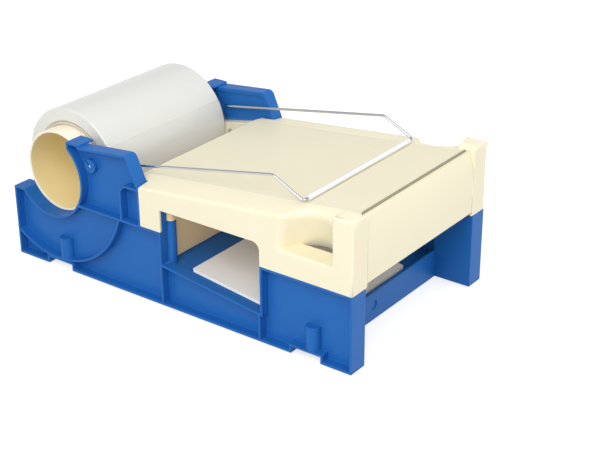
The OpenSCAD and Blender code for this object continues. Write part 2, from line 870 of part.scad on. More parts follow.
module top_cover() {
    color(cream) place() difference() {
        union() {
            difference() {
                roof(0, 0, cover_rear_y, ledge_z);
                roof(cover_t, cover_t, body_l, ledge_z - eps);
                front_gap();
            }
            front_panel();
            blade_rib();
            both_sides() {
                front_post();
                intersection() {
                    scoop_pocket();
                    roof(0, 0, body_l, 0);
                }
                cover_boss(column_rear, column_rear_z);
                cover_boss(column_front, ledge_z);
            }
            partition();
            tongue();
        }
        both_sides() {
            scoop_space();
            window_cut();
            cover_boss_hole(column_rear, column_rear_z);
            cover_boss_hole(column_front, ledge_z);
        }
        blade_frame() for (x = blade_screw_x) translate([x, -blade_hole, -blade_screw_drop])
            rotate([-90, 0, 0]) cylinder(d = screw_d + 2 * hole_gap, h = blade_hole + blade_reach + eps);
    }
}

// Cutter blade: a toothed steel strip behind the front panel's leaning top

module cutter_blade() {
    teeth = floor(blade_l / tooth_pitch);
    low = blade_proud - blade_h;
    left = -blade_l / 2;
    tips = [for (i = [teeth - 1 : -1 : 0]) each [
        [left + (i + 0.5) * tooth_pitch, blade_proud],
        [left + i * tooth_pitch, blade_proud - tooth_h]
    ]];
    color(steel) place() blade_frame() translate([0, blade_t + blade_room, 0]) rotate([90, 0, 0])
        linear_extrude(blade_t) difference() {
            polygon(concat([[-left, low], [-left, blade_proud - tooth_h]], tips, [[left, low]]));
            for (x = blade_screw_x) translate([x, -blade_screw_drop]) circle(d = screw_d + 2 * hole_gap);
        }
}

module blade_screws() {
    color(steel) place() blade_frame() for (x = blade_screw_x)
        translate([x, blade_reach, -blade_screw_drop]) rotate([90, 0, 0])
        screw(screw_d, blade_reach + blade_grip);
}

module cover_screws() {
    color(steel) place() both_sides() for (top = [[column_rear, column_rear_z], [column_front, ledge_z]])
        translate([-half_w + top[0].x, top[0].y, top[1] - column_cap]) screw(cover_screw_d, cover_screw_l);
}

module tray_screws() {
    color(steel) place() both_sides() skirt_screws(tray_screw_at);
}

module shelf_screws() {
    color(steel) place() both_sides() skirt_screws(shelf_screw_at);
}

// Rubber feet, pushed by their stems into the posts behind the notches

module foot(side, y) {
    color(rubber) place() translate([side * (half_w - foot_u), y, 0]) {
        translate([0, 0, foot_taper_z]) cylinder(d = foot_d, h = notch_z - foot_taper_z, $fn = 64);
        translate([0, 0, -foot_proud])
            cylinder(d1 = sole_d, d2 = foot_d, h = foot_taper_z + foot_proud, $fn = 64);
        cylinder(d = stem_d, h = notch_z + stem_l - seat_gap, $fn = 48);
    }
}

module front_left_foot() foot(-1, front_foot_y);
module front_right_foot() foot(1, front_foot_y);
module rear_left_foot() foot(-1, rear_foot_y);
module rear_right_foot() foot(1, rear_foot_y);

// Tape roll: spindle tube, cardboard core and the wound film

// A tube along X on the roll axis, shifted to the right
module roll_tube(od, id, l, shift) {
    place() translate([shift - l / 2, roll_y, roll_z]) rotate([0, 90, 0]) difference() {
        cylinder(d = od, h = l, $fn = 160);
        translate([0, 0, -eps]) cylinder(d = id, h = l + 2 * eps, $fn = 160);
    }
}

module roll_spindle() {
    color([0.95, 0.90, 0.76]) roll_tube(spindle_od, spindle_od - 2 * spindle_wall, spindle_l, 0);
}

module tape_core() {
    color([0.78, 0.68, 0.48]) roll_tube(core_od, core_id, tape_w, tape_shift);
}

module tape_roll() {
    color([0.93, 0.93, 0.92]) roll_tube(tape_od, core_od, tape_w, tape_shift);
}

// The film that is drawn off the roll, ready for the next cut: a thin strip in the side view, and
// in the plan straight along the deck and then askew to the shifted roll
module tape_leader() {
    top = [for (i = [len(film_way) - 1 : -1 : 0]) film_way[i] + [0, film_t]];
    side = tape_w / 2;
    peel_y = film_way[2].x;
    color([0.90, 0.90, 0.86]) place() intersection() {
        across(-half_w, half_w) polygon(concat(film_way, top));
        linear_extrude(far) polygon([
            [-side, 0], [side, 0], [side, tongue_rear_y], [side + tape_shift, peel_y],
            [tape_shift - side, peel_y], [-side, tongue_rear_y]
        ]);
    }
}

// Bail: one bent wire in two pivots, with a loose tube on its cross bar

module bail_wire() {
    half = [
        [tip_x, pivot_y, pivot_z], [knee_x, pivot_y, pivot_z],
        [arm_x, bend_y, bend_z], [arm_x, roller_y, roller_z]
    ];
    other = [for (i = [len(half) - 1 : -1 : 0]) [-half[i].x, half[i].y, half[i].z]];
    radii = [knee_r, bend_r, toe_r, toe_r, bend_r, knee_r];
    color(steel) place() bent_bar(concat(half, other), radii, wire_d);
}

module bail_roller() {
    bore_d = wire_d + 2 * roller_gap;
    color([0.95, 0.96, 0.98]) place() translate([-roller_l / 2, roller_y, roller_z]) rotate([0, 90, 0])
        difference() {
            cylinder(d = roller_d, h = roller_l, $fn = 48);
            translate([0, 0, -eps]) cylinder(d = bore_d, h = roller_l + 2 * eps, $fn = 48);
        }
}

// Labels that wait in the tray

module label_stack() {
    color([0.97, 0.97, 0.96]) place()
        translate([-half_w + label_near_u, label_front_y, floor_z(label_front_y) + hole_gap])
        rotate([sill_angle, 0, 0]) cube([label_w, label_l, label_h]);
}

left_side_frame();
right_side_frame();
label_tray();
roll_shelf();
top_cover();
cutter_blade();
blade_screws();
cover_screws();
tray_screws();
shelf_screws();
front_left_foot();
front_right_foot();
rear_left_foot();
rear_right_foot();
roll_spindle();
tape_core();
tape_roll();
tape_leader();
bail_wire();
bail_roller();
label_stack();
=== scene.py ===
"""Looks of a label protection tape dispenser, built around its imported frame."""

import json
import math

import bmesh
import bpy
from mathutils import Matrix, Vector


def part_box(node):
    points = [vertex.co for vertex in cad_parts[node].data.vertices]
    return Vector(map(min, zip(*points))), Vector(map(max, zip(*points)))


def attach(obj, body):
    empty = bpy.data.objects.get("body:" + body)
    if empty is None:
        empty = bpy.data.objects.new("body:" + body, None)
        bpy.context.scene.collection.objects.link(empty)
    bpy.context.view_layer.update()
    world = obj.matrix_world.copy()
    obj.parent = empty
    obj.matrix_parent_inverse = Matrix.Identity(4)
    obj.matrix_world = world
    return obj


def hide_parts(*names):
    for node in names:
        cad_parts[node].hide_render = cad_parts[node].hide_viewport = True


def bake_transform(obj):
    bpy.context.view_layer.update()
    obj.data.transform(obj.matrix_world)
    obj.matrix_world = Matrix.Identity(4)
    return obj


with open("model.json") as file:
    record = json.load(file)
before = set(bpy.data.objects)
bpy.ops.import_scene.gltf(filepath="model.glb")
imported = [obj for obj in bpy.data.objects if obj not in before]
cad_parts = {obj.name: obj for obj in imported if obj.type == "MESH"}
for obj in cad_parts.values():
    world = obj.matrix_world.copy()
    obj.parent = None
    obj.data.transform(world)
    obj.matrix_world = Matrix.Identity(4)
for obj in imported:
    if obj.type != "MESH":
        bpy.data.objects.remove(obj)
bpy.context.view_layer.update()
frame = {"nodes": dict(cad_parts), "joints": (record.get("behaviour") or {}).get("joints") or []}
scene = bpy.context.scene
scene.view_settings.view_transform = "Standard"

# Camera: it stands in front of the dispenser, to its left and well above it. Its place, directions
# and focal length were fitted to the dispenser's straight edges in the photograph.
camera_place = Vector((-0.8762, -0.7132, 0.5774))
camera_turn = math.radians(53.515)
camera_dip = math.radians(25.464)
camera_roll = math.radians(-0.254)
picture_width = 600
focal_pixels = 1392.8
sensor_width = 36

ahead = Vector((
    math.sin(camera_turn) * math.cos(camera_dip),
    math.cos(camera_turn) * math.cos(camera_dip),
    -math.sin(camera_dip),
))
level = Vector((math.cos(camera_turn), -math.sin(camera_turn), 0))
to_right = level * math.cos(camera_roll) + level.cross(ahead) * math.sin(camera_roll)
to_top = to_right.cross(ahead)
camera_data = bpy.data.cameras.new("photo_camera")
camera_data.sensor_width = sensor_width
camera_data.lens = sensor_width * focal_pixels / picture_width
camera = bpy.data.objects.new("photo_camera", camera_data)
camera.matrix_world = (
    Matrix.Translation(camera_place) @ Matrix((to_right, to_top, -ahead)).transposed().to_4x4()
)
scene.collection.objects.link(camera)
scene.camera = camera

# Studio: a wide pale floor under soft light. One large soft box hangs over the left side and a
# weaker one over the front. The walls are white low down and grey above.
floor_size = 8
floor_colour = (0.5, 0.5, 0.5, 1)
floor_roughness = 0.9
floor_glow = 0.68
straight_down = -1
wall_tones = ((0.5, 0.95), (0.6, 0.9), (0.72, 0.56), (1, 0.72))
light_aim = Vector((0, 0, 0.05))
left_box_place = Vector((-1.3, -0.5, 1.1))
left_box_size = 1.2
left_box_power = 17
front_box_place = Vector((0.4, -1.6, 1.3))
front_box_size = 1.0
front_box_power = 10


def node_of(material, kind, **values):
    """Adds a shader node to a material and sets its plain properties."""
    made = material.node_tree.nodes.new(kind)
    for key, value in values.items():
        setattr(made, key, value)
    return made


def join(material, start, end):
    """Links one socket to another."""
    material.node_tree.links.new(start, end)


def new_material(name):
    """A new material made of nodes, and its shader."""
    material = bpy.data.materials.new(name)
    material.use_nodes = True
    return material, material.node_tree.nodes["Principled BSDF"]


floor_mesh = bpy.data.meshes.new("floor")
sheet = bmesh.new()
bmesh.ops.create_grid(sheet, x_segments=1, y_segments=1, size=floor_size / 2)
sheet.to_mesh(floor_mesh)
sheet.free()
floor = bpy.data.objects.new("floor", floor_mesh)
scene.collection.objects.link(floor)
floor_paint, floor_shader = new_material("floor_white")
floor_shader.inputs["Base Color"].default_value = floor_colour
floor_shader.inputs["Roughness"].default_value = floor_roughness
floor_shader.inputs["Emission Color"].default_value = (1, 1, 1, 1)
rays = node_of(floor_paint, "ShaderNodeLightPath")
seen = node_of(floor_paint, "ShaderNodeMath", operation="MAXIMUM")
seen_at_all = node_of(floor_paint, "ShaderNodeMath", operation="MAXIMUM")
glow = node_of(floor_paint, "ShaderNodeMath", operation="MULTIPLY")
glow.inputs[1].default_value = floor_glow
join(floor_paint, rays.outputs["Is Camera Ray"], seen.inputs[0])
join(floor_paint, rays.outputs["Is Glossy Ray"], seen.inputs[1])
join(floor_paint, seen.outputs["Value"], seen_at_all.inputs[0])
join(floor_paint, rays.outputs["Is Transmission Ray"], seen_at_all.inputs[1])
join(floor_paint, seen_at_all.outputs["Value"], glow.inputs[0])
join(floor_paint, glow.outputs["Value"], floor_shader.inputs["Emission Strength"])
floor_mesh.materials.append(floor_paint)

world = bpy.data.worlds.new("studio_walls")
world.use_nodes = True
world_tree = world.node_tree
direction = world_tree.nodes.new("ShaderNodeTexCoord")
parts = world_tree.nodes.new("ShaderNodeSeparateXYZ")
height = world_tree.nodes.new("ShaderNodeMapRange")
height.inputs["From Min"].default_value = straight_down
tones = world_tree.nodes.new("ShaderNodeValToRGB")
for number, (at, tone) in enumerate(wall_tones):
    stop = tones.color_ramp.elements[number] if number < 2 else tones.color_ramp.elements.new(at)
    stop.position = at
    stop.color = (tone, tone, tone, 1)
world_tree.links.new(direction.outputs["Generated"], parts.inputs["Vector"])
world_tree.links.new(parts.outputs["Z"], height.inputs["Value"])
world_tree.links.new(height.outputs["Result"], tones.inputs["Fac"])
world_tree.links.new(tones.outputs["Color"], world_tree.nodes["Background"].inputs["Color"])
scene.world = world


def soft_box(name, place, size, power):
    """Hangs a square soft light at a place and turns it to the dispenser."""
    light = bpy.data.lights.new(name, "AREA")
    light.shape = "SQUARE"
    light.size = size
    light.energy = power
    lamp = bpy.data.objects.new(name, light)
    turn = (light_aim - place).to_track_quat("-Z", "Y")
    lamp.matrix_world = Matrix.Translation(place) @ turn.to_matrix().to_4x4()
    scene.collection.objects.link(lamp)


soft_box("left_box", left_box_place, left_box_size, left_box_power)
soft_box("front_box", front_box_place, front_box_size, front_box_power)

# Side frames: two mirrored mouldings in satin blue plastic. Flanges and ribs stand on a thin web,
# and the mould leaves a small radius on every edge.
frame_edge = 0.0005
frame_dark = (0.013, 0.126, 0.43, 1)
frame_light = (0.017, 0.142, 0.47, 1)
frame_shine = 0.2
flow_scale = 18
flow_detail = 3
grain_scale = 1400
grain_detail = 2
grain_depth = 0.0001
merge_distance = 0.00004
flat_angle = math.radians(0.5)
sharp_angle = math.radians(26)
smooth_angle = math.radians(38)
shortest_edge = 0.0009


def merged_copy(node_name):
    """A copy of a CAD node's mesh with its triangles joined into whole faces."""
    shape = bmesh.new()
    shape.from_mesh(frame["nodes"][node_name].data)
    bmesh.ops.remove_doubles(shape, verts=shape.verts[:], dist=merge_distance)
    bmesh.ops.dissolve_limit(shape, angle_limit=flat_angle, verts=shape.verts[:], edges=shape.edges[:])
    return shape


def sharp_edges(shape):
    """The edges at which two faces meet at a clear angle, apart from those of small holes."""
    return [
        edge for edge in shape.edges
        if edge.is_manifold and edge.calc_length() > shortest_edge and edge.calc_face_angle() > sharp_angle
    ]


def round_edges(shape, edges, width, segments):
    """Rounds some edges of a shape."""
    bmesh.ops.bevel(
        shape, geom=edges, offset=width, offset_type="OFFSET", affect="EDGES", segments=segments,
        profile=0.5, material=-1, clamp_overlap=False,
    )


def finish_piece(shape, name, material, body, nodes):
    """Makes an object of a shape with its material, hangs it on a body and hides the CAD nodes it takes
    the place of.
    """
    bmesh.ops.triangulate(shape, faces=[face for face in shape.faces if len(face.verts) > 4])
    mesh = bpy.data.meshes.new(name)
    shape.to_mesh(mesh)
    shape.free()
    mesh.shade_smooth()
    mesh.set_sharp_from_angle(angle=smooth_angle)
    mesh.materials.append(material)
    piece = bpy.data.objects.new(name, mesh)
    scene.collection.objects.link(piece)
    weights = piece.modifiers.new("even_flats", "WEIGHTED_NORMAL")
    weights.keep_sharp = True
    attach(piece, body)
    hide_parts(*nodes)
    return piece


def moulded_group():
    """The skin of a moulding: faint flow marks in its colour, and a fine grain in its gloss."""
    group = bpy.data.node_groups.new("moulded_skin", "ShaderNodeTree")
    taken = (("Dark", "Color"), ("Light", "Color"), ("Gloss Low", "Float"), ("Gloss High", "Float"))
    given = (("Color", "Color"), ("Roughness", "Float"), ("Height", "Float"))
    for name, kind in taken:
        group.interface.new_socket(name, in_out="INPUT", socket_type="NodeSocket" + kind)
    for name, kind in given:
        group.interface.new_socket(name, in_out="OUTPUT", socket_type="NodeSocket" + kind)
    take = group.nodes.new("NodeGroupInput")
    give = group.nodes.new("NodeGroupOutput")
    place = group.nodes.new("ShaderNodeTexCoord")
    flow = group.nodes.new("ShaderNodeTexNoise")
    flow.inputs["Scale"].default_value = flow_scale
    flow.inputs["Detail"].default_value = flow_detail
    grain = group.nodes.new("ShaderNodeTexNoise")
    grain.inputs["Scale"].default_value = grain_scale
    grain.inputs["Detail"].default_value = grain_detail
    blend = group.nodes.new("ShaderNodeMix")
    blend.data_type = "RGBA"
    gloss = group.nodes.new("ShaderNodeMapRange")
    link = group.links.new
    link(place.outputs["Object"], flow.inputs["Vector"])
    link(place.outputs["Object"], grain.inputs["Vector"])
    link(flow.outputs["Fac"], blend.inputs["Factor"])
    link(take.outputs["Dark"], blend.inputs["A"])
    link(take.outputs["Light"], blend.inputs["B"])
    link(grain.outputs["Fac"], gloss.inputs["Value"])
    link(take.outputs["Gloss Low"], gloss.inputs["To Min"])
    link(take.outputs["Gloss High"], gloss.inputs["To Max"])
    link(blend.outputs["Result"], give.inputs["Color"])
    link(gloss.outputs["Result"], give.inputs["Roughness"])
    link(grain.outputs["Fac"], give.inputs["Height"])
    return group


moulded_skin = moulded_group()


def add_relief(material, shader, height, strength, depth):
    """Lets a height bump a material's surface."""
    relief = node_of(material, "ShaderNodeBump")
    relief.inputs["Strength"].default_value = strength
    relief.inputs["Distance"].default_value = depth
    join(material, height, relief.inputs["Height"])
    join(material, relief.outputs["Normal"], shader.inputs["Normal"])


def moulded_plastic(name, dark, light, rough_low, rough_high, bump):
    """A satin moulded plastic with its own colours, gloss and grain."""
    material, shader = new_material(name)
    skin = node_of(material, "ShaderNodeGroup", node_tree=moulded_skin)
    skin.inputs["Dark"].default_value = dark
    skin.inputs["Light"].default_value = light
    skin.inputs["Gloss Low"].default_value = rough_low
    skin.inputs["Gloss High"].default_value = rough_high
    join(material, skin.outputs["Color"], shader.inputs["Base Color"])
    join(material, skin.outputs["Roughness"], shader.inputs["Roughness"])
    add_relief(material, shader, skin.outputs["Height"], bump, grain_depth)
    return material


blue_plastic = moulded_plastic(
    "blue_plastic", frame_dark, frame_light, rough_low=0.34, rough_high=0.46, bump=0.15,
)
blue_plastic.node_tree.nodes["Principled BSDF"].inputs["Specular IOR Level"].default_value = frame_shine
for node_name in ("left_side_frame", "right_side_frame"):
    moulding = merged_copy(node_name)
    round_edges(moulding, sharp_edges(moulding), frame_edge, segments=2)
    low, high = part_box(node_name)
    for vert in moulding.verts:
        vert.co.x = min(max(vert.co.x, low.x), high.x)
    finish_piece(moulding, node_name + "_moulding", blue_plastic, "frame", [node_name])

# Feet: turned rubber buttons, each pushed by its stem into a post behind a notch of the side
# frames. The rubber is dark and dull.
foot_radius = 0.0065
sole_radius = 0.004
stem_radius = 0.0029
taper_height = 0.005
button_height = 0.007
foot_edge = 0.0006
foot_steps = 40
rubber_dark = (0.022, 0.022, 0.024, 1)
rubber_light = (0.05, 0.05, 0.052, 1)
across = Vector((1, 0, 0))
upwards = Vector((0, 0, 1))


def turned(profile, centre, axis, out, steps, closed):
    """Turns a profile of (along, radius) points about an axis into a round shape."""
    shape = bmesh.new()
    corners = [shape.verts.new(centre + axis * along + out * radius) for along, radius in profile]
    edges = [shape.edges.new(pair) for pair in zip(corners, corners[1:])]
    if closed:
        edges.append(shape.edges.new((corners[-1], corners[0])))
    bmesh.ops.spin(
        shape, geom=corners + edges, cent=centre, axis=axis, angle=math.tau, steps=steps, use_merge=True,
    )
    bmesh.ops.remove_doubles(shape, verts=shape.verts[:], dist=merge_distance)
    bmesh.ops.recalc_face_normals(shape, faces=shape.faces[:])
    return shape


foot_rubber = moulded_plastic(
    "foot_rubber", rubber_dark, rubber_light, rough_low=0.7, rough_high=0.9, bump=0.4,
)
for node_name in ("front_left_foot", "front_right_foot", "rear_left_foot", "rear_right_foot"):
    low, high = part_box(node_name)
    sole = Vector(((low.x + high.x) / 2, (low.y + high.y) / 2, low.z))
    stem_height = high.z - low.z
    foot_profile = (
        (0, 0), (0, sole_radius), (taper_height, foot_radius), (button_height, foot_radius),
        (button_height, stem_radius), (stem_height, stem_radius), (stem_height, 0),
    )
    foot = turned(foot_profile, sole, upwards, across, foot_steps, closed=False)
    round_edges(foot, sharp_edges(foot), foot_edge, segments=2)
    finish_piece(foot, node_name + "_button", foot_rubber, "frame", [node_name])

# Label tray: a sloping blue plate with a low front wall and turned-down skirts, screwed between the
# frames. It is of the same plastic as they are.
tray_edge = 0.0005
tray = merged_copy("label_tray")
round_edges(tray, sharp_edges(tray), tray_edge, segments=2)
finish_piece(tray, "label_tray_plate", blue_plastic, "frame", ["label_tray"])

# Top cover: one cream moulding with the deck, the falling shoulders, the finger scoops, the front
# posts and the front panel. Its outer corners are well rounded, and the scoops run softly into the sides
# and the shoulders. The inside under the deck is painted a warmer cream, as painted shade for the
# warm shadow and bounced light in there.
cover_edge = 0.0006
post_edge = 0.002
post_side = 0.095
scoop_radius = 0.0247
scoop_lean = math.radians(25)
scoop_set = 0.0018
scoop_y = -0.1457
scoop_front_ease = 0.0006
scoop_rear_ease = 0.009
scoop_first_y = -0.171
scoop_last_y = -0.1115
ledge_z = 0.0906
ledge_width = 0.0201
ledge_round = 0.0015
round_middle = 0.3
ledge_band = 0.004
rim_ease = 0.009
long_edge_ease = 0.0026
rim_full_depth = 0.008
rim_start = 0.9
rim_tries = 12
shoulder_width = 0.0248
shoulder_fall = 0.0034
deck_fall = math.tan(math.radians(5.7))
deck_front_z = 0.1308
scoop_turns = 30
wall_parts = 9
rim_parts = 8
shoulder_parts = 3
near = 0.0003
facing_up = 0.5
facing_out = 0.1
facing_back = 0.5
blade_end = 0.083
blade_end_edge = 0.003
scoop_region_y = -0.095
cream_dark = (0.87, 0.805, 0.585, 1)
cream_light = (0.91, 0.852, 0.65, 1)
cream_plastic = moulded_plastic(
    "cream_plastic", cream_dark, cream_light, rough_low=0.36, rough_high=0.48, bump=0.12,
)
cover_wall = 0.0025
# Painted shade: the same cream plastic, coloured warmer for the shadow and bounced light under the deck.
inside_shade_dark = (0.92, 0.69, 0.38, 1)
inside_shade_light = (0.95, 0.73, 0.43, 1)
cover_inside_painted_shade = moulded_plastic(
    "cover_inside_painted_shade", inside_shade_dark, inside_shade_light, rough_low=0.5, rough_high=0.6, bump=0.12,
)
cover_low, cover_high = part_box("top_cover")
blade_low, blade_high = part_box("cutter_blade")
half_width = cover_high.x
scoop_side = half_width - 2 * ledge_width


def scoop_place(turn, z):
    """How far the scoop's wall lies behind the side face at a height, and its place along the side."""
    out = scoop_set - (z - ledge_z) * math.tan(scoop_lean)
    face = -out * math.cos(scoop_lean)
    ease = scoop_front_ease if turn < 0 else scoop_rear_ease
    start = math.sqrt((scoop_radius + ease) ** 2 - (face + ease) ** 2)
    front_reach = scoop_y - scoop_first_y - merge_distance
    stretch = front_reach / start if turn < 0 else 1
    off = start * abs(math.sin(turn))
    if off > start * scoop_radius / (scoop_radius + ease):
        behind = face + ease - math.sqrt(max(0, ease ** 2 - (start - off) ** 2))
    else:
        behind = math.sqrt(scoop_radius ** 2 - off ** 2)
    return out + behind / math.cos(scoop_lean), scoop_y + math.copysign(off * stretch, turn)


def deck_line_z(y):
    """The height of the line between the deck and a shoulder."""
    return deck_front_z - (y - cover_low.y) * deck_fall


def shoulder_z(depth, y):
    """The height of the shoulder at a distance from the side face."""
    return deck_line_z(y) - shoulder_fall * (1 - depth / shoulder_width)


def inside_cover(face):
    """Whether a face lies under the deck, within the walls and behind the scoops."""
    for vert in face.verts:
        depth = min(half_width - abs(vert.co.x), shoulder_width)
        if vert.co.z > shoulder_z(depth, vert.co.y) - cover_wall / 2:
            return False
    middle = face.calc_center_median()
    return abs(middle.x) < half_width - cover_wall / 2 and middle.y > scoop_last_y


def scoop_section(place):
    """One line of (depth, y, z) points up the side: band, ledge, scoop wall, soft rim and shoulder."""
    foot, low_y = place(ledge_z)
    lip = min(ledge_round, foot / 2)
    inset = round_middle * lip
    line = [
        (0, low_y, ledge_z - ledge_band), (0, low_y, ledge_z - lip), (inset, low_y, ledge_z - inset),
        (lip, low_y, ledge_z), (min(foot, ledge_width), low_y, ledge_z),
    ]
    top = ledge_z
    for _ in range(rim_tries):
        depth, y = place(top)
        top = shoulder_z(depth, y)
    ease = long_edge_ease + (rim_ease - long_edge_ease) * min(1, depth / rim_full_depth)
    for number in range(wall_parts + 1):
        z = ledge_z + (top - rim_start * ease - ledge_z) * number / wall_parts
        line.append((*place(z), z))
    before = Vector(line[-1])
    corner = Vector((depth, y, top))
    after = Vector((depth + ease, y, shoulder_z(depth + ease, y)))
    for number in range(1, rim_parts):
        part = number / rim_parts
        line.append(before * (1 - part) ** 2 + corner * 2 * part * (1 - part) + after * part ** 2)
    for number in range(shoulder_parts + 1):
        deep = after.x + (shoulder_width - after.x) * number / shoulder_parts
        line.append((deep, y, shoulder_z(deep, y)))
    return line


def on_scoop_skin(face, side):
    """Whether a face belongs to the outer skin that a soft scoop takes the place of."""
    if any(vert.co.x * side < scoop_side for vert in face.verts):
        return False
    first = scoop_first_y - merge_distance
    last = scoop_last_y + merge_distance
    if any(not first < vert.co.y < last for vert in face.verts):
        return False
    if any(vert.co.z < ledge_z - ledge_band - near for vert in face.verts):
        return False
    depths = [half_width - vert.co.x * side for vert in face.verts]
    if all(depth < near for depth in depths):
        return True
    axis = Vector((-half_width + scoop_set, scoop_y, ledge_z))
    axis_way = Vector((-math.sin(scoop_lean), 0, math.cos(scoop_lean)))
    left = [Vector((-vert.co.x * side, vert.co.y, vert.co.z)) for vert in face.verts]
    if all(abs((at - axis).cross(axis_way).length - scoop_radius) < near for at in left):
        return all(at.z > ledge_z - near for at in left)
    if all(abs(at.z - ledge_z) < near for at in left):
        return face.normal.z > facing_up and max(depths) < ledge_width + near
    under = [shoulder_z(depth, at.y) - at.z for depth, at in zip(depths, left)]
    if max(depths) > shoulder_width + near or max(under) > 2 * long_edge_ease or min(under) < -near:
        return False
    outwards = face.normal.x * side > facing_out and face.normal.y < facing_back
    return face.normal.z > facing_up or max(depths) < 2 * long_edge_ease and outwards


def soften_scoop(shape, side):
    """Takes one scoop's skin off the cover and puts a soft one in its place."""
    bmesh.ops.delete(shape, geom=[f for f in shape.faces if on_scoop_skin(f, side)], context="FACES")
    sections = [scoop_section(lambda z: (0, scoop_first_y))]
    for number in range(-scoop_turns, scoop_turns + 1):
        turn = math.pi / 2 * number / scoop_turns
        sections.append(scoop_section(lambda z: scoop_place(turn, z)))
    sections.append(scoop_section(lambda z: (0, scoop_last_y)))
    rows = [
        [shape.verts.new((side * (half_width - depth), y, z)) for depth, y, z in line] for line in sections
    ]
    # the slot behind the ledge's end stays open
    ledge_end = 4
    skin = []
    for row, after in zip(rows, rows[1:]):
        for number in range(len(row) - 1):
            if number != ledge_end:
                corners = (row[number], row[number + 1], after[number + 1], after[number])
                skin.append(shape.faces.new(corners))
    shape.normal_update()
    shoulder_face = skin[len(rows[0]) - 3]
    if shoulder_face.normal.z < 0:
        bmesh.ops.reverse_faces(shape, faces=skin)


def stitch(shape, reach):
    """Splits open edges where other open corners lie on them, and merges the corners."""
    open_edges = [edge for edge in shape.edges if edge.is_boundary]
    corners = list(dict.fromkeys(vert for edge in open_edges for vert in edge.verts))
    for edge in open_edges:
        start = edge.verts[0]
        origin = start.co.copy()
        run = edge.verts[1].co - origin
        met = []
        for vert in corners:
            along = (vert.co - origin).dot(run) / run.length_squared
            if 0 < along < 1 and (origin + run * along - vert.co).length < reach:
                if min(along, 1 - along) * run.length > merge_distance:
                    met.append((along, vert.co.copy()))
        done = 0
        for along, place in sorted(met, key=lambda item: item[0]):
            if along - done > merge_distance / run.length:
                _, start = bmesh.utils.edge_split(edge, start, (along - done) / (1 - done))
                start.co = place
                done = along
    open_verts = [vert for vert in shape.verts if vert.is_boundary]
    bmesh.ops.remove_doubles(shape, verts=open_verts, dist=merge_distance)


def middle_of(edge):
    """The point halfway along an edge."""
    return (edge.verts[0].co + edge.verts[1].co) / 2


cover = merged_copy("top_cover")
post_edges = []
for edge in sharp_edges(cover):
    middle = middle_of(edge)
    in_front = all(vert.co.y < cover_low.y + merge_distance for vert in edge.verts)
    behind = all(abs(vert.co.y - scoop_first_y) < merge_distance for vert in edge.verts)
    high = middle.z > shoulder_z(half_width - abs(middle.x), middle.y) + near
    if in_front and (abs(middle.x) > post_side or middle.z > blade_high.z) or behind and high:
        post_edges.append(edge)
round_edges(cover, post_edges, post_edge, segments=4)
plain_edges = []
for edge in sharp_edges(cover):
    middle = middle_of(edge)
    beside = abs(middle.x) > scoop_side
    along = scoop_first_y - near < middle.y < scoop_last_y
    low_enough = middle.z < shoulder_z(half_width - abs(middle.x), middle.y) + near
    at_scoop = beside and along and low_enough and middle.z > ledge_z - 2 * near
    at_blade = blade_high.x < abs(middle.x) < blade_end and blade_low.y - near < middle.y < blade_high.y
    if not at_scoop and not (at_blade and edge.calc_length() < blade_end_edge):
        plain_edges.append(edge)
round_edges(cover, plain_edges, cover_edge, segments=2)
for level, facing in (
    ((0, scoop_first_y, 0), (0, 1, 0)), ((0, scoop_last_y, 0), (0, 1, 0)),
    ((0, 0, ledge_z), (0, 0, 1)), ((0, 0, ledge_z - ledge_band), (0, 0, 1)),
):
    front_faces = [face for face in cover.faces if any(v.co.y < scoop_region_y for v in face.verts)]
    front_edges = list(dict.fromkeys(edge for face in front_faces for edge in face.edges))
    front_verts = list(dict.fromkeys(vert for face in front_faces for vert in face.verts))
    bmesh.ops.bisect_plane(
        cover, geom=front_verts + front_edges + front_faces, dist=merge_distance, plane_co=level,
        plane_no=facing,
    )
for side in (-1, 1):
    soften_scoop(cover, side)
bmesh.ops.remove_doubles(cover, verts=cover.verts[:], dist=merge_distance)
stitch(cover, near)
# the faces under the deck take the painted shade
for face in cover.faces:
    if inside_cover(face):
        face.material_index = 1
cover_piece = finish_piece(
    cover, "cover_moulding", cream_plastic, "frame", ["top_cover"],
)
cover_piece.data.materials.append(cover_inside_painted_shade)

# Roll shelf: a shallow trough of the cover's cream plastic, with a ledge along each cheek. It lies
# between the deck and the roll, under the drawn film.
shelf_edge = 0.0005
shelf = merged_copy("roll_shelf")
round_edges(shelf, sharp_edges(shelf), shelf_edge, segments=2)
finish_piece(shelf, "roll_shelf_trough", cream_plastic, "frame", ["roll_shelf"])

# Cutter blade: a strip of spring steel with small teeth, clamped behind the front panel's top.
# It is brushed along its length. Its steel is tinted a dark olive grey, a painted reflection of the cream
# plastic around it.
# Painted reflection: the olive-grey tint stands for the cream that the blade's face mirrors.
blade_tint_painted_reflection = (0.36, 0.35, 0.26, 1)
streak_detail = 3
streak_depth = 0.00005


def steel(name, colour, streaks, rough_low, rough_high, bump):
    """Bare steel whose gloss changes in streaks, with a scale for each direction."""
    material, shader = new_material(name)
    shader.inputs["Metallic"].default_value = 1
    shader.inputs["Base Color"].default_value = colour
    place = node_of(material, "ShaderNodeTexCoord")
    stretch = node_of(material, "ShaderNodeMapping")
    stretch.inputs["Scale"].default_value = streaks
    lines = node_of(material, "ShaderNodeTexNoise")
    lines.inputs["Scale"].default_value = 1
    lines.inputs["Detail"].default_value = streak_detail
    gloss = node_of(material, "ShaderNodeMapRange")
    gloss.inputs["To Min"].default_value = rough_low
    gloss.inputs["To Max"].default_value = rough_high
    join(material, place.outputs["Object"], stretch.inputs["Vector"])
    join(material, stretch.outputs["Vector"], lines.inputs["Vector"])
    join(material, lines.outputs["Fac"], gloss.inputs["Value"])
    join(material, gloss.outputs["Result"], shader.inputs["Roughness"])
    add_relief(material, shader, lines.outputs["Fac"], bump, streak_depth)
    return material


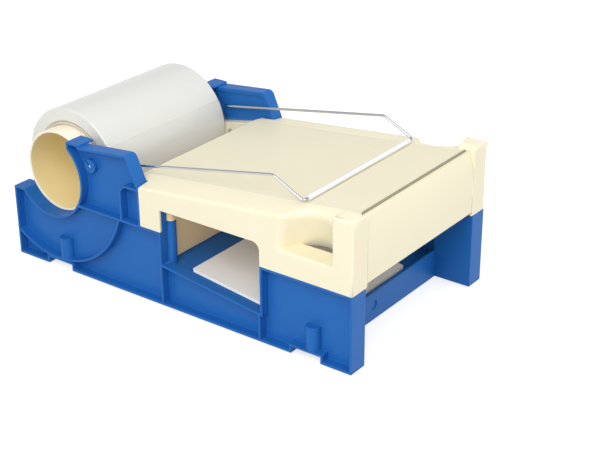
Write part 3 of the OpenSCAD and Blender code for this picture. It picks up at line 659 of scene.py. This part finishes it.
def dress(node_name, material):
    """Gives a CAD node that stays in view its material."""
    mesh = frame["nodes"][node_name].data
    mesh.materials.clear()
    mesh.materials.append(material)


blade_steel = steel(
    "blade_steel", blade_tint_painted_reflection, streaks=(60, 3000, 3000), rough_low=0.25, rough_high=0.45, bump=0.2,
)
dress("cutter_blade", blade_steel)

# Screws: pan-head screws of zinc-plated steel, in four groups. They hold the blade, the cover, the
# tray and the shelf, and none of them shows from above.
screw_colour = (0.6, 0.6, 0.58, 1)
screw_steel = steel(
    "screw_steel", screw_colour, streaks=(900, 900, 900), rough_low=0.25, rough_high=0.4, bump=0.1,
)
for node_name in ("blade_screws", "cover_screws", "tray_screws", "shelf_screws"):
    dress(node_name, screw_steel)

# Labels: a small stack of white labels that lies on the sloping tray. The corners are barely
# rounded, and the sheets don't lie quite flush.
label_count = 6
stack_height = 0.0045
label_corner = 0.0012
label_corner_parts = 6
label_shift = 0.0006
label_share = 0.9
shift_turn_x = 2.4
shift_turn_y = 1.7
tray_rise = 0.013
tray_run = 0.105
tray_slope = math.atan2(tray_rise, tray_run)
paper_dark = (0.86, 0.86, 0.85, 1)
paper_light = (0.92, 0.92, 0.91, 1)
label_paper = moulded_plastic(
    "label_paper", paper_dark, paper_light, rough_low=0.6, rough_high=0.8, bump=0.1,
)
stack_low, stack_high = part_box("label_stack")
stack_width = stack_high.x - stack_low.x
stack_length = (stack_high.y - stack_low.y - stack_height * math.sin(tray_slope)) / math.cos(tray_slope)
label_pitch = stack_height / label_count


def verts_of(made):
    """The corners among what an operator made."""
    return [item for item in made if isinstance(item, bmesh.types.BMVert)]


labels = bmesh.new()
corners = bmesh.ops.create_grid(labels, x_segments=1, y_segments=1, size=0.5)["verts"]
bmesh.ops.scale(
    labels, verts=corners, vec=(stack_width - 2 * label_shift, stack_length - 2 * label_shift, 1),
)
bmesh.ops.bevel(
    labels, geom=corners, offset=label_corner, offset_type="OFFSET", affect="VERTICES",
    segments=label_corner_parts, profile=0.5, material=-1,
)
risen = bmesh.ops.extrude_face_region(labels, geom=labels.faces[:])["geom"]
bmesh.ops.translate(labels, verts=verts_of(risen), vec=upwards * label_share * label_pitch)
bmesh.ops.recalc_face_normals(labels, faces=labels.faces[:])
leaf = labels.verts[:] + labels.edges[:] + labels.faces[:]
for number in range(1, label_count):
    copied = bmesh.ops.duplicate(labels, geom=leaf)["geom"]
    aside = Vector((math.sin(shift_turn_x * number), math.cos(shift_turn_y * number), 0))
    bmesh.ops.translate(
        labels, verts=verts_of(copied), vec=aside * label_shift + upwards * number * label_pitch,
    )
bmesh.ops.translate(labels, verts=labels.verts[:], vec=(stack_width / 2, stack_length / 2, 0))
bmesh.ops.rotate(labels, verts=labels.verts[:], cent=(0, 0, 0), matrix=Matrix.Rotation(tray_slope, 3, "X"))
stack_corner = stack_low + Vector((0, stack_height * math.sin(tray_slope), 0))
bmesh.ops.translate(labels, verts=labels.verts[:], vec=stack_corner)
finish_piece(labels, "label_sheets", label_paper, "frame", ["label_stack"])

# Spindle: a plain cream tube that lies loose in the two cradles and carries the roll's core.
# Both of its ends are turned smooth, and its bore is painted a warmer tan as painted shade for the shadow
# inside the tube.
spindle_wall = 0.0025
spindle_edge = 0.0008
roll_steps = 192
spindle_dark = (0.88, 0.82, 0.66, 1)
spindle_light = (0.92, 0.87, 0.73, 1)
# Painted shade: the bore is the same plastic, coloured a warmer tan for the shadow and bounced light
# inside it.
bore_shade_dark = (0.93, 0.77, 0.39, 1)
bore_shade_light = (0.96, 0.82, 0.46, 1)
pivots = {joint["name"]: Vector(joint["pos_m"]) for joint in frame["joints"] if "pos_m" in joint}
roll_axis = pivots["roll_spin"]


def tube_on_roll(node_name, inner, outer, edge):
    """A tube about the roll's axis, as long as a CAD node."""
    left, right = (end.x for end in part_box(node_name))
    profile = ((left, inner), (right, inner), (right, outer), (left, outer))
    shape = turned(profile, roll_axis, across, upwards, roll_steps, closed=True)
    round_edges(shape, sharp_edges(shape), edge, segments=3)
    return shape


spindle_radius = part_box("roll_spindle")[1].z - roll_axis.z
spindle_bore_radius = spindle_radius - spindle_wall
spindle_plastic = moulded_plastic(
    "spindle_plastic", spindle_dark, spindle_light, rough_low=0.3, rough_high=0.42, bump=0.1,
)
spindle_bore_painted_shade = moulded_plastic(
    "spindle_bore_painted_shade", bore_shade_dark, bore_shade_light, rough_low=0.35, rough_high=0.45, bump=0.1,
)
spindle = tube_on_roll("roll_spindle", spindle_bore_radius, spindle_radius, spindle_edge)
# the bore's faces take the painted shade
for face in spindle.faces:
    if (face.calc_center_median() - roll_axis).yz.length < spindle_bore_radius + merge_distance:
        face.material_index = 1
spindle_piece = finish_piece(
    spindle, "spindle_tube", spindle_plastic, "spindle", ["roll_spindle"],
)
spindle_piece.data.materials.append(spindle_bore_painted_shade)

# Core: a tube of brown board, wound from thin plies and slid over the spindle. The tape is rolled on
# it, and its ends show the plies.
core_wall = 0.0024
core_edge = 0.0003
board_dark = (0.58, 0.48, 0.35, 1)
board_light = (0.72, 0.63, 0.50, 1)
layer_detail = 2
layer_depth = 0.0001


def wound_group():
    """Rings about the roll's axis, uneven as the edges of wound layers are."""
    group = bpy.data.node_groups.new("wound_rings", "ShaderNodeTree")
    group.interface.new_socket("Rings Per Metre", in_out="INPUT", socket_type="NodeSocketFloat")
    group.interface.new_socket("Mask", in_out="OUTPUT", socket_type="NodeSocketFloat")
    take = group.nodes.new("NodeGroupInput")
    give = group.nodes.new("NodeGroupOutput")
    place = group.nodes.new("ShaderNodeTexCoord")
    centred = group.nodes.new("ShaderNodeVectorMath")
    centred.operation = "SUBTRACT"
    centred.inputs[1].default_value = roll_axis
    flat = group.nodes.new("ShaderNodeVectorMath")
    flat.operation = "MULTIPLY"
    flat.inputs[1].default_value = (0, 1, 1)
    radius = group.nodes.new("ShaderNodeVectorMath")
    radius.operation = "LENGTH"
    count = group.nodes.new("ShaderNodeMath")
    count.operation = "MULTIPLY"
    layers = group.nodes.new("ShaderNodeTexNoise")
    layers.noise_dimensions = "1D"
    layers.inputs["Scale"].default_value = 1
    layers.inputs["Detail"].default_value = layer_detail
    link = group.links.new
    link(place.outputs["Object"], centred.inputs[0])
    link(centred.outputs["Vector"], flat.inputs[0])
    link(flat.outputs["Vector"], radius.inputs[0])
    link(radius.outputs["Value"], count.inputs[0])
    link(take.outputs["Rings Per Metre"], count.inputs[1])
    link(count.outputs["Value"], layers.inputs["W"])
    link(layers.outputs["Fac"], give.inputs["Mask"])
    return group


wound_rings = wound_group()


def wound_material(name, dark, light, rings, roughness, bump):
    """A wound material whose layers show as rings."""
    material, shader = new_material(name)
    shader.inputs["Roughness"].default_value = roughness
    wound = node_of(material, "ShaderNodeGroup", node_tree=wound_rings)
    wound.inputs["Rings Per Metre"].default_value = rings
    blend = node_of(material, "ShaderNodeMix", data_type="RGBA")
    blend.inputs["A"].default_value = dark
    blend.inputs["B"].default_value = light
    join(material, wound.outputs["Mask"], blend.inputs["Factor"])
    join(material, blend.outputs["Result"], shader.inputs["Base Color"])
    add_relief(material, shader, wound.outputs["Mask"], bump, layer_depth)
    return material


core_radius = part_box("tape_core")[1].z - roll_axis.z
core_board = wound_material(
    "core_board", board_dark, board_light, rings=4000, roughness=0.8, bump=0.4,
)
core = tube_on_roll("tape_core", core_radius - core_wall, core_radius, core_edge)
finish_piece(core, "core_tube", core_board, "tape", ["tape_core"])

# Tape: clear plastic film, wound on the core in so many layers that it looks white. The layers show
# as faint rings on its ends.
roll_edge = 0.002
film_white_dark = (0.69, 0.69, 0.655, 1)
film_white_light = (0.75, 0.75, 0.715, 1)
roll_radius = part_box("tape_roll")[1].z - roll_axis.z
tape_film = wound_material(
    "tape_film", film_white_dark, film_white_light, rings=1500, roughness=0.22, bump=0.15,
)
roll = tube_on_roll("tape_roll", core_radius, roll_radius, roll_edge)
finish_piece(roll, "wound_tape", tape_film, "tape", ["tape_roll"])

# Film: the end of the tape, peeled off the roll's front and drawn a little askew to the deck, then
# straight over it to the blade. It is clear, with a grey cast where it lies on the deck.
film_thickness = 0.0002
peel_bend = 0.003
peel_parts = 6
tongue_bend = 0.002
tongue_parts = 4
free_parts = 12
peel_steps = 4
peel_step = math.radians(5)
film_colour = (0.78, 0.77, 0.70, 1)
film_roughness = 0.12
deck_alpha = 0.17
free_alpha = 0.05
film_low, film_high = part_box("tape_leader")
roll_left, roll_right = (end.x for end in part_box("tape_roll"))
film_width = roll_right - roll_left
film_front = Vector((film_low.x, film_low.y, film_high.z - film_thickness))
tongue_run = cover_high.y - film_low.y
tongue_edge = film_front + Vector((0, tongue_run, -tongue_run * deck_fall))
peel_line = Vector((roll_left, film_high.y, film_low.z))
spoke = peel_line - Vector((roll_left, roll_axis.y, roll_axis.z))
film_points = [film_front, tongue_edge, peel_line]
for number in range(1, peel_steps + 1):
    turned_spoke = Matrix.Rotation(-number * peel_step, 3, "X") @ spoke
    film_points.append(peel_line - spoke + turned_spoke)
film = bmesh.new()
film_line = [film.verts.new(point) for point in film_points]
film_edges = [film.edges.new(pair) for pair in zip(film_line, film_line[1:])]
drawn = bmesh.ops.extrude_edge_only(film, edges=film_edges)["geom"]
bmesh.ops.translate(film, verts=verts_of(drawn), vec=across * film_width)


def cross_edges(shape, place):
    """The edges of the film that run across it at a place."""
    return [
        edge for edge in shape.edges
        if all((vert.co - place).yz.length < merge_distance for vert in edge.verts)
    ]


free_edges = []
for edge in film.edges:
    ends = sorted(vert.co.y for vert in edge.verts)
    if abs(ends[0] - tongue_edge.y) < merge_distance and abs(ends[1] - peel_line.y) < merge_distance:
        free_edges.append(edge)
creases = cross_edges(film, tongue_edge)
peel = cross_edges(film, peel_line)
round_edges(film, creases, tongue_bend, tongue_parts)
round_edges(film, peel, peel_bend, peel_parts)
bmesh.ops.subdivide_edges(film, edges=[edge for edge in free_edges if edge.is_valid], cuts=free_parts)
bmesh.ops.recalc_face_normals(film, faces=film.faces[:])
bmesh.ops.solidify(film, geom=film.faces[:], thickness=film_thickness)

leader_film, film_shader = new_material("leader_film")
film_shader.inputs["Base Color"].default_value = film_colour
film_shader.inputs["Roughness"].default_value = film_roughness
film_place = node_of(leader_film, "ShaderNodeTexCoord")
film_parts = node_of(leader_film, "ShaderNodeSeparateXYZ")
film_alpha = node_of(leader_film, "ShaderNodeMapRange")
film_alpha.inputs["From Min"].default_value = tongue_edge.y - tongue_bend
film_alpha.inputs["From Max"].default_value = tongue_edge.y + tongue_bend
film_alpha.inputs["To Min"].default_value = deck_alpha
film_alpha.inputs["To Max"].default_value = free_alpha
join(leader_film, film_place.outputs["Object"], film_parts.inputs["Vector"])
join(leader_film, film_parts.outputs["Y"], film_alpha.inputs["Value"])
join(leader_film, film_alpha.outputs["Result"], film_shader.inputs["Alpha"])
film_piece = finish_piece(film, "drawn_film", leader_film, "frame", ["tape_leader"])
film_piece.parent = None
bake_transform(film_piece)

# Bail: one bright steel wire, bent at six places, that turns in holes in the cheeks. Its cross bar
# carries the roller.
wire_radius = 0.0012
wire_sides = 20
knee_x = 0.0862
arm_x = 0.0797
bend_place = (-0.0978, 0.1423)
knee_bend = 0.004
arm_bend = 0.007
toe_bend = 0.003
bend_parts = 10
wire_tip_edge = 0.0003
wire_colour = (0.6, 0.6, 0.62, 1)
pivot = pivots["bail_swing"]
roller_axis = pivots["roller_spin"]
tip_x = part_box("bail_wire")[1].x
half_path = [
    (Vector((tip_x, pivot.y, pivot.z)), 0),
    (Vector((knee_x, pivot.y, pivot.z)), knee_bend),
    (Vector((arm_x, *bend_place)), arm_bend),
    (Vector((arm_x, roller_axis.y, roller_axis.z)), toe_bend),
]
wire_path = half_path + [(Vector((-at.x, at.y, at.z)), bend) for at, bend in reversed(half_path)]


def new_edges(made):
    """The edges of the ring that an operator made last."""
    corners = set(verts_of(made))
    edges = [item for item in made if isinstance(item, bmesh.types.BMEdge)]
    return [edge for edge in edges if set(edge.verts) <= corners]


wire = bmesh.new()
bmesh.ops.create_circle(
    wire, segments=wire_sides, radius=wire_radius,
    matrix=Matrix.Translation(wire_path[0][0]) @ Matrix.Rotation(math.pi / 2, 4, "Y"),
)
ring = wire.edges[:]
first_ring = ring
trimmed = 0
for number in range(len(wire_path) - 1):
    at, bend = wire_path[number + 1]
    run = at - wire_path[number][0]
    way = run.normalized()
    reach = 0
    if bend:
        onward = (wire_path[number + 2][0] - at).normalized()
        turn = way.angle(onward)
        reach = bend * math.tan(turn / 2)
    drawn = bmesh.ops.extrude_edge_only(wire, edges=ring)["geom"]
    ring = new_edges(drawn)
    bmesh.ops.translate(wire, verts=verts_of(drawn), vec=way * (run.length - trimmed - reach))
    trimmed = reach
    if bend:
        hinge = way.cross(onward).normalized()
        hub = at - way * reach + hinge.cross(way) * bend
        spun = bmesh.ops.spin(wire, geom=ring, cent=hub, axis=hinge, angle=turn, steps=bend_parts)
        ring = new_edges(spun["geom_last"])
for end_ring in (first_ring, ring):
    bmesh.ops.contextual_create(wire, geom=end_ring)
bmesh.ops.recalc_face_normals(wire, faces=wire.faces[:])
round_edges(wire, first_ring + ring, wire_tip_edge, segments=2)
bail_steel = steel(
    "bail_steel", wire_colour, streaks=(400, 400, 400), rough_low=0.06, rough_high=0.12, bump=0.05,
)
finish_piece(wire, "bail_bow", bail_steel, "bail", ["bail_wire"])

# Roller: a thin tube of whitish plastic that lets a little light through. It turns loosely on the
# bail's cross bar and presses on the film.
roller_bore = 0.00128
roller_edge = 0.0003
roller_steps = 48
roller_clearness = 0.1
roller_dark = (0.88, 0.88, 0.94, 1)
roller_light = (0.95, 0.95, 0.98, 1)
roller_low, roller_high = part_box("bail_roller")
roller_radius = (roller_high.z - roller_low.z) / 2
roller_half = roller_high.x
roller_profile = (
    (-roller_half, roller_bore), (roller_half, roller_bore),
    (roller_half, roller_radius), (-roller_half, roller_radius),
)
roller = turned(roller_profile, roller_axis, across, upwards, roller_steps, closed=True)
round_edges(roller, sharp_edges(roller), roller_edge, segments=2)
roller_plastic = moulded_plastic(
    "roller_plastic", roller_dark, roller_light, rough_low=0.12, rough_high=0.2, bump=0.02,
)
roller_shader = roller_plastic.node_tree.nodes["Principled BSDF"]
roller_shader.inputs["Transmission Weight"].default_value = roller_clearness
finish_piece(roller, "roller_tube", roller_plastic, "roller", ["bail_roller"])
